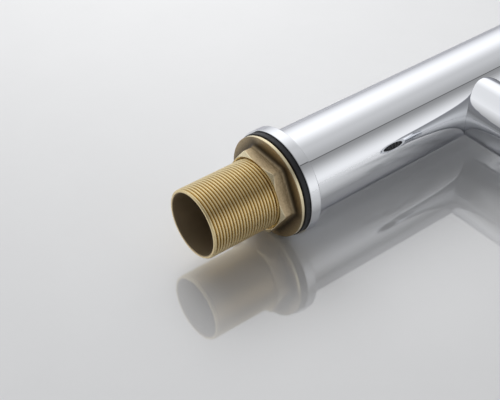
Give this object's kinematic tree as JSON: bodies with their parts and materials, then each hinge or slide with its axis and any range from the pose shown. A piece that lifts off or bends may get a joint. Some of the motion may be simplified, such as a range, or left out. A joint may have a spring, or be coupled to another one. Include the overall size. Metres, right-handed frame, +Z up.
{
  "type": "basin mixer tap",
  "caption": "Straight round chrome basin mixer with a level spout, a tilting cap handle with a pin lever, and a threaded brass mounting shank with a flanged lock nut.",
  "frame": {"origin": "on the tap's upright axis, at the level where the base ring rests on the deck", "axes": "+Z up along the body and out of the mounting shank's bore; -Y along the spout and the lever towards the user; +X to the user's right"},
  "size_m": [0.0498, 0.1144, 0.2339],
  "materials": {
    "chrome": "mirror-bright chrome plating on brass",
    "shank_brass": "bright machined thread with fine turning marks",
    "nut_brass": "forged and blasted faces, flange rim machined bright",
    "block_brass": "machined brass",
    "rubber": "smooth black rubber",
    "insert_plastic": "dark moulded plastic",
    "cartridge_plastic": "glass-filled moulded plastic",
    "disc_ceramic": "lapped alumina",
    "steel": "turned stainless steel",
    "index_plastic": "gloss plug, red half to the hot side and blue half to the cold side"
  },
  "bodies": {
    "tap": {"threaded_shank": "shank_brass", "base_ring": "chrome", "body_shell": "chrome", "valve_block": "block_brass", "nipple_gasket": "rubber", "spout_nipple": "block_brass", "spout_seal": "rubber", "spout_tube": "chrome", "aerator_housing": "chrome", "aerator_insert": "insert_plastic", "aerator_seal": "rubber", "cartridge_base": "cartridge_plastic", "port_seals": "rubber", "fixed_disc": "disc_ceramic", "cartridge_housing": "cartridge_plastic", "cartridge_nut": "block_brass", "dome_cap": "chrome"},
    "turner": {"rotor": "cartridge_plastic", "spindle_pin": "steel"},
    "disc": {"moving_disc": "disc_ceramic", "disc_driver": "cartridge_plastic"},
    "lever": {"spindle": "steel", "handle_cap": "chrome", "lever_rod": "chrome", "grub_screw": "steel", "index_plug": "index_plastic"},
    "washer": {"rubber_washer": "rubber"},
    "nut": {"lock_nut": "nut_brass"}
  },
  "joints": [
    {"name": "lever_turn", "type": "hinge", "parent": "tap", "child": "turner", "pos_m": [0, 0, 0.1435], "axis": [0, 0, 1], "range_deg": [-50, 50]},
    {"name": "lever_lift", "type": "hinge", "parent": "turner", "child": "lever", "pos_m": [0, 0, 0.1435], "axis": [-1, 0, 0], "range_deg": [0, 25]},
    {"name": "disc_slide", "type": "slide", "parent": "turner", "child": "disc", "axis": [0, -1, 0], "range_m": [0, 0.00227]},
    {"name": "nut_travel", "type": "slide", "parent": "tap", "child": "washer", "axis": [0, 0, 1], "range_m": [-0.02, 0]},
    {"name": "nut_spin", "type": "hinge", "parent": "washer", "child": "nut", "pos_m": [0, 0, 0], "axis": [0, 0, 1], "range_deg": [-4800, 0]}
  ],
  "couplings": [
    {"joint": "disc_slide", "follows": "lever_lift", "m_per_rad": 0.0052},
    {"joint": "nut_travel", "follows": "nut_spin", "m_per_rad": 0.00023873}
  ]
}
